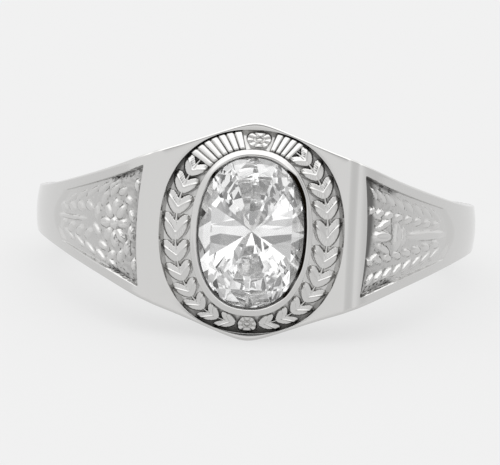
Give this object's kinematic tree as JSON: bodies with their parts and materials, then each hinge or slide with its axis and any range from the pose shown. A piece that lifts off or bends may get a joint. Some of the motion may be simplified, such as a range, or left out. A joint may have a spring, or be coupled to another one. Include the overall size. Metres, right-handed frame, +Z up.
{
  "type": "class ring",
  "caption": "Polished white metal class ring: tapered band, oval faceted clear stone in a bezel, ornamented border, and a sunk relief panel on each shoulder.",
  "frame": {"origin": "centre of the bounding box's bottom face, on the surface that the ring lies on", "axes": "+Z up from that surface, -Y towards the head and its stone, +X to the right when facing the stone"},
  "size_m": [0.0206, 0.0232, 0.0097],
  "materials": {
    "white_metal": "polished, darker in the sunk grounds",
    "clear_stone": "polished facets"
  },
  "bodies": {
    "root": {"ring_band": "white_metal", "oval_stone": "clear_stone"}
  },
  "joints": []
}
